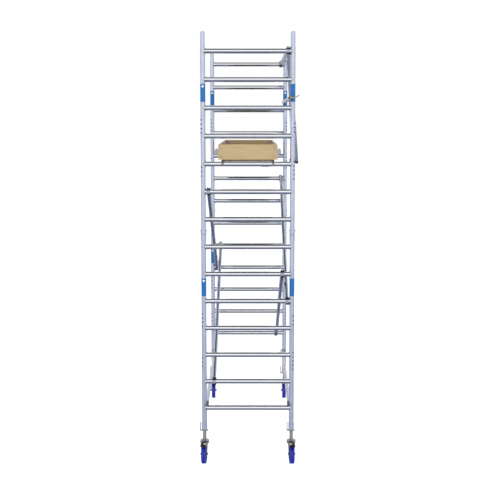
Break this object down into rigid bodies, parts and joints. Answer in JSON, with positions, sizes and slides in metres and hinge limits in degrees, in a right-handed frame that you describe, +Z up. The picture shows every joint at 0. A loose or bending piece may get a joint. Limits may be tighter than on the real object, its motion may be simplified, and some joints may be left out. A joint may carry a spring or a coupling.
{
  "type": "mobile scaffold tower",
  "caption": "Narrow mobile scaffold tower of stacked rung frames with diagonal braces, a hatch platform with toe boards, side guard rails and braked swivel casters on screw legs.",
  "frame": {"origin": "on the ground in the middle of the four posts", "axes": "+X across the tower to the guard rail side, +Y along it from the front end frame to the rear one, +Z up"},
  "size_m": [1.0145, 2.7504, 4.41],
  "materials": {
    "post_alu": "extruded, satin",
    "rung_alu": "ribbed extrusion, satin",
    "tube_alu": "ribbed extrusion, satin",
    "cast_alu": "cast, slightly rough",
    "zinc_steel": "zinc plated",
    "wheel_blue": "moulded",
    "black_plastic": "moulded",
    "deck_ply": "film faced plywood",
    "toe_ply": "lacquered plywood"
  },
  "bodies": {
    "tower": {"front_lower_posts": "post_alu", "front_lower_rungs": "rung_alu", "front_upper_posts": "post_alu", "front_upper_rungs": "rung_alu", "rear_lower_posts": "post_alu", "rear_lower_rungs": "rung_alu", "rear_upper_posts": "post_alu", "rear_upper_rungs": "rung_alu", "joint_spigots": "post_alu", "top_spigots": "post_alu", "post_collars": "post_alu", "diagonal_brace_left_high": "tube_alu", "diagonal_brace_left_low": "tube_alu", "diagonal_brace_right_high": "tube_alu", "diagonal_brace_right_low": "tube_alu", "horizontal_brace_left": "tube_alu", "horizontal_brace_right": "tube_alu", "guard_top_rail": "tube_alu", "guard_knee_rail": "tube_alu", "brace_claws": "cast_alu", "guard_clamps": "cast_alu", "platform_hooks": "cast_alu", "guard_strut": "post_alu", "platform_frame": "post_alu", "deck": "deck_ply", "hatch_hinges": "zinc_steel", "toe_board_fittings": "zinc_steel", "toe_boards": "toe_ply"},
    "lock_clip_front_left": {"lock_clip_front_left": "zinc_steel"},
    "leg_front_left": {"caster_leg_front_left": "zinc_steel"},
    "nut_front_left": {"adjusting_nut_front_left": "zinc_steel"},
    "fork_front_left": {"caster_fork_front_left": "zinc_steel"},
    "wheel_front_left": {"wheel_front_left": "wheel_blue"},
    "pedal_front_left": {"brake_pedal_front_left": "black_plastic"},
    "lock_clip_front_right": {"lock_clip_front_right": "zinc_steel"},
    "leg_front_right": {"caster_leg_front_right": "zinc_steel"},
    "nut_front_right": {"adjusting_nut_front_right": "zinc_steel"},
    "fork_front_right": {"caster_fork_front_right": "zinc_steel"},
    "wheel_front_right": {"wheel_front_right": "wheel_blue"},
    "pedal_front_right": {"brake_pedal_front_right": "black_plastic"},
    "lock_clip_rear_left": {"lock_clip_rear_left": "zinc_steel"},
    "leg_rear_left": {"caster_leg_rear_left": "zinc_steel"},
    "nut_rear_left": {"adjusting_nut_rear_left": "zinc_steel"},
    "fork_rear_left": {"caster_fork_rear_left": "zinc_steel"},
    "wheel_rear_left": {"wheel_rear_left": "wheel_blue"},
    "pedal_rear_left": {"brake_pedal_rear_left": "black_plastic"},
    "lock_clip_rear_right": {"lock_clip_rear_right": "zinc_steel"},
    "leg_rear_right": {"caster_leg_rear_right": "zinc_steel"},
    "nut_rear_right": {"adjusting_nut_rear_right": "zinc_steel"},
    "fork_rear_right": {"caster_fork_rear_right": "zinc_steel"},
    "wheel_rear_right": {"wheel_rear_right": "wheel_blue"},
    "pedal_rear_right": {"brake_pedal_rear_right": "black_plastic"},
    "triggers_front": {"claw_triggers_front": "black_plastic"},
    "clamp_lever_front": {"clamp_lever_front": "zinc_steel"},
    "wind_lock_front": {"wind_lock_front": "zinc_steel"},
    "triggers_rear": {"claw_triggers_rear": "black_plastic"},
    "clamp_lever_rear": {"clamp_lever_rear": "zinc_steel"},
    "wind_lock_rear": {"wind_lock_rear": "zinc_steel"},
    "hatch": {"hatch": "deck_ply"},
    "hatch_latch": {"hatch_latch": "zinc_steel"}
  },
  "joints": [
    {"name": "lock_clip_swing_front_left", "type": "hinge", "parent": "tower", "child": "lock_clip_front_left", "pos_m": [-0.45, -1.225, 2.429], "axis": [-1, 0, 0], "range_deg": [0, 100]},
    {"name": "leg_slide_front_left", "type": "slide", "parent": "tower", "child": "leg_front_left", "axis": [0, 0, -1], "range_m": [-0.08, 0.25]},
    {"name": "nut_turn_front_left", "type": "hinge", "parent": "tower", "child": "nut_front_left", "pos_m": [-0.45, -1.225, 0.34], "axis": [0, 0, 1], "range_deg": [-3600, 11250]},
    {"name": "swivel_front_left", "type": "hinge", "parent": "leg_front_left", "child": "fork_front_left", "pos_m": [-0.45, -1.225, 0.22], "axis": [0, 0, 1], "continuous": true},
    {"name": "wheel_roll_front_left", "type": "hinge", "parent": "fork_front_left", "child": "wheel_front_left", "pos_m": [-0.45349, -1.27488, 0.1], "axis": [0.9976, -0.0698, 0], "continuous": true},
    {"name": "pedal_press_front_left", "type": "hinge", "parent": "fork_front_left", "child": "pedal_front_left", "pos_m": [-0.4546, -1.29084, 0.222], "axis": [0.9976, -0.0698, 0], "range_deg": [0, 14]},
    {"name": "lock_clip_swing_front_right", "type": "hinge", "parent": "tower", "child": "lock_clip_front_right", "pos_m": [0.45, -1.225, 2.429], "axis": [-1, 0, 0], "range_deg": [0, 100]},
    {"name": "leg_slide_front_right", "type": "slide", "parent": "tower", "child": "leg_front_right", "axis": [0, 0, -1], "range_m": [-0.08, 0.25]},
    {"name": "nut_turn_front_right", "type": "hinge", "parent": "tower", "child": "nut_front_right", "pos_m": [0.45, -1.225, 0.34], "axis": [0, 0, 1], "range_deg": [-3600, 11250]},
    {"name": "swivel_front_right", "type": "hinge", "parent": "leg_front_right", "child": "fork_front_right", "pos_m": [0.45, -1.225, 0.22], "axis": [0, 0, 1], "continuous": true},
    {"name": "wheel_roll_front_right", "type": "hinge", "parent": "fork_front_right", "child": "wheel_front_right", "pos_m": [0.45349, -1.27488, 0.1], "axis": [0.9976, 0.0698, 0], "continuous": true},
    {"name": "pedal_press_front_right", "type": "hinge", "parent": "fork_front_right", "child": "pedal_front_right", "pos_m": [0.4546, -1.29084, 0.222], "axis": [0.9976, 0.0698, 0], "range_deg": [0, 14]},
    {"name": "lock_clip_swing_rear_left", "type": "hinge", "parent": "tower", "child": "lock_clip_rear_left", "pos_m": [-0.45, 1.225, 2.429], "axis": [1, 0, 0], "range_deg": [0, 100]},
    {"name": "leg_slide_rear_left", "type": "slide", "parent": "tower", "child": "leg_rear_left", "axis": [0, 0, -1], "range_m": [-0.08, 0.25]},
    {"name": "nut_turn_rear_left", "type": "hinge", "parent": "tower", "child": "nut_rear_left", "pos_m": [-0.45, 1.225, 0.34], "axis": [0, 0, 1], "range_deg": [-3600, 11250]},
    {"name": "swivel_rear_left", "type": "hinge", "parent": "leg_rear_left", "child": "fork_rear_left", "pos_m": [-0.45, 1.225, 0.22], "axis": [0, 0, 1], "continuous": true},
    {"name": "wheel_roll_rear_left", "type": "hinge", "parent": "fork_rear_left", "child": "wheel_rear_left", "pos_m": [-0.45175, 1.27497, 0.1], "axis": [-0.9994, -0.0349, 0], "continuous": true},
    {"name": "pedal_press_rear_left", "type": "hinge", "parent": "fork_rear_left", "child": "pedal_rear_left", "pos_m": [-0.4523, 1.29096, 0.222], "axis": [-0.9994, -0.0349, 0], "range_deg": [0, 14]},
    {"name": "lock_clip_swing_rear_right", "type": "hinge", "parent": "tower", "child": "lock_clip_rear_right", "pos_m": [0.45, 1.225, 2.429], "axis": [1, 0, 0], "range_deg": [0, 100]},
    {"name": "leg_slide_rear_right", "type": "slide", "parent": "tower", "child": "leg_rear_right", "axis": [0, 0, -1], "range_m": [-0.08, 0.25]},
    {"name": "nut_turn_rear_right", "type": "hinge", "parent": "tower", "child": "nut_rear_right", "pos_m": [0.45, 1.225, 0.34], "axis": [0, 0, 1], "range_deg": [-3600, 11250]},
    {"name": "swivel_rear_right", "type": "hinge", "parent": "leg_rear_right", "child": "fork_rear_right", "pos_m": [0.45, 1.225, 0.22], "axis": [0, 0, 1], "continuous": true},
    {"name": "wheel_roll_rear_right", "type": "hinge", "parent": "fork_rear_right", "child": "wheel_rear_right", "pos_m": [0.45175, 1.27497, 0.1], "axis": [-0.9994, 0.0349, 0], "continuous": true},
    {"name": "pedal_press_rear_right", "type": "hinge", "parent": "fork_rear_right", "child": "pedal_rear_right", "pos_m": [0.4523, 1.29096, 0.222], "axis": [-0.9994, 0.0349, 0], "range_deg": [0, 14]},
    {"name": "triggers_pull_front", "type": "slide", "parent": "tower", "child": "triggers_front", "axis": [0, 1, 0], "range_m": [0, 0.03], "stiffness_N_per_m": 150},
    {"name": "clamp_lever_turn_front", "type": "hinge", "parent": "tower", "child": "clamp_lever_front", "pos_m": [0.428, -1.2635, 3.76], "axis": [0, 0, -1], "range_deg": [0, 110]},
    {"name": "wind_lock_turn_front", "type": "hinge", "parent": "tower", "child": "wind_lock_front", "pos_m": [0.15, -1.177, 3.07], "axis": [0, 0, 1], "range_deg": [0, 90]},
    {"name": "triggers_pull_rear", "type": "slide", "parent": "tower", "child": "triggers_rear", "axis": [0, -1, 0], "range_m": [0, 0.03], "stiffness_N_per_m": 150},
    {"name": "clamp_lever_turn_rear", "type": "hinge", "parent": "tower", "child": "clamp_lever_rear", "pos_m": [0.428, 1.2635, 3.76], "axis": [0, 0, 1], "range_deg": [0, 110]},
    {"name": "wind_lock_turn_rear", "type": "hinge", "parent": "tower", "child": "wind_lock_rear", "pos_m": [0.15, 1.177, 3.07], "axis": [0, 0, 1], "range_deg": [0, 90]},
    {"name": "hatch_open", "type": "hinge", "parent": "tower", "child": "hatch", "pos_m": [0.198, 0.68, 3.1484], "axis": [0, 1, 0], "range_deg": [0, 100]},
    {"name": "hatch_latch_slide", "type": "slide", "parent": "hatch", "child": "hatch_latch", "axis": [-1, 0, 0], "range_m": [0, 0.022]}
  ],
  "couplings": [
    {"joint": "nut_turn_front_left", "follows": "leg_slide_front_left", "rad_per_m": 785.4},
    {"joint": "nut_turn_front_right", "follows": "leg_slide_front_right", "rad_per_m": 785.4},
    {"joint": "nut_turn_rear_left", "follows": "leg_slide_rear_left", "rad_per_m": 785.4},
    {"joint": "nut_turn_rear_right", "follows": "leg_slide_rear_right", "rad_per_m": 785.4}
  ]
}
